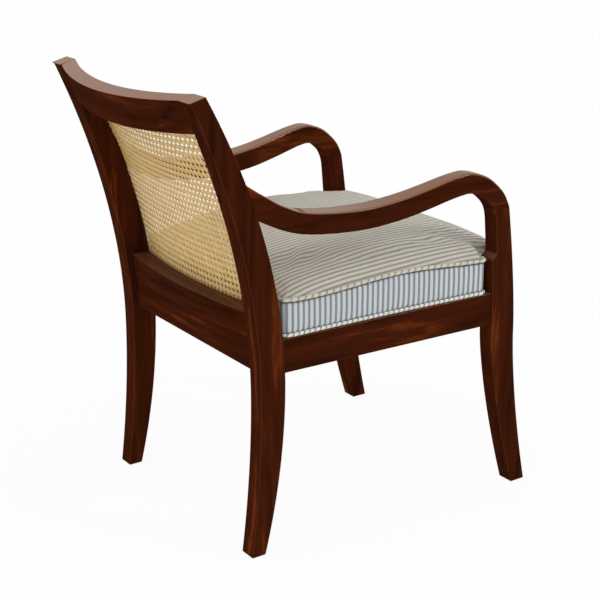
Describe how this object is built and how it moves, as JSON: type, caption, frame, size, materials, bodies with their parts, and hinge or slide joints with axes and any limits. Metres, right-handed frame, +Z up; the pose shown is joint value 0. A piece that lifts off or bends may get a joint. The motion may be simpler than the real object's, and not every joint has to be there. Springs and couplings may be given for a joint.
{
  "type": "planters chair",
  "caption": "Low open armchair with sabre legs, scrolled arms, a bowed crest rail, a caned back panel and a loose boxed seat cushion with welted edges.",
  "frame": {"origin": "on the floor, below the middle of the chair's bounding box", "axes": "+Z up, the sitter faces -Y, +X is the sitter's left"},
  "size_m": [0.577, 0.789, 0.86],
  "materials": {
    "mahogany": "dark red-brown, clear gloss lacquer",
    "cane": "natural split cane, satin",
    "reed": "natural reed, satin",
    "ticking": "matt cotton with narrow grey-blue stripes",
    "plywood": "unfinished",
    "beech": "unfinished",
    "steel": "zinc plated"
  },
  "bodies": {
    "root": {"rear_post_left": "mahogany", "rear_post_right": "mahogany", "front_leg_left": "mahogany", "front_leg_right": "mahogany", "arm_left": "mahogany", "arm_right": "mahogany", "crest_rail": "mahogany", "cane_rail": "mahogany", "cane_panel": "cane", "side_spline_left": "reed", "side_spline_right": "reed", "top_spline": "reed", "bottom_spline": "reed", "seat_rail_back": "mahogany", "seat_rail_front": "mahogany", "seat_rail_left": "mahogany", "seat_rail_right": "mahogany", "corner_block_rear_left": "beech", "corner_block_rear_right": "beech", "corner_block_front_left": "beech", "corner_block_front_right": "beech", "block_screw_rear_side_left": "steel", "block_screw_rear_side_right": "steel", "block_screw_rear_end_left": "steel", "block_screw_rear_end_right": "steel", "block_screw_front_side_left": "steel", "block_screw_front_side_right": "steel", "block_screw_front_end_left": "steel", "block_screw_front_end_right": "steel", "arm_dowel_left": "beech", "arm_dowel_right": "beech", "post_dowel_left": "beech", "post_dowel_right": "beech", "side_batten_left": "beech", "side_batten_right": "beech", "back_batten": "beech", "front_batten": "beech", "seat_deck": "plywood", "seat_cushion": "ticking", "seat_welt_top": "ticking", "seat_welt_bottom": "ticking"}
  },
  "joints": []
}
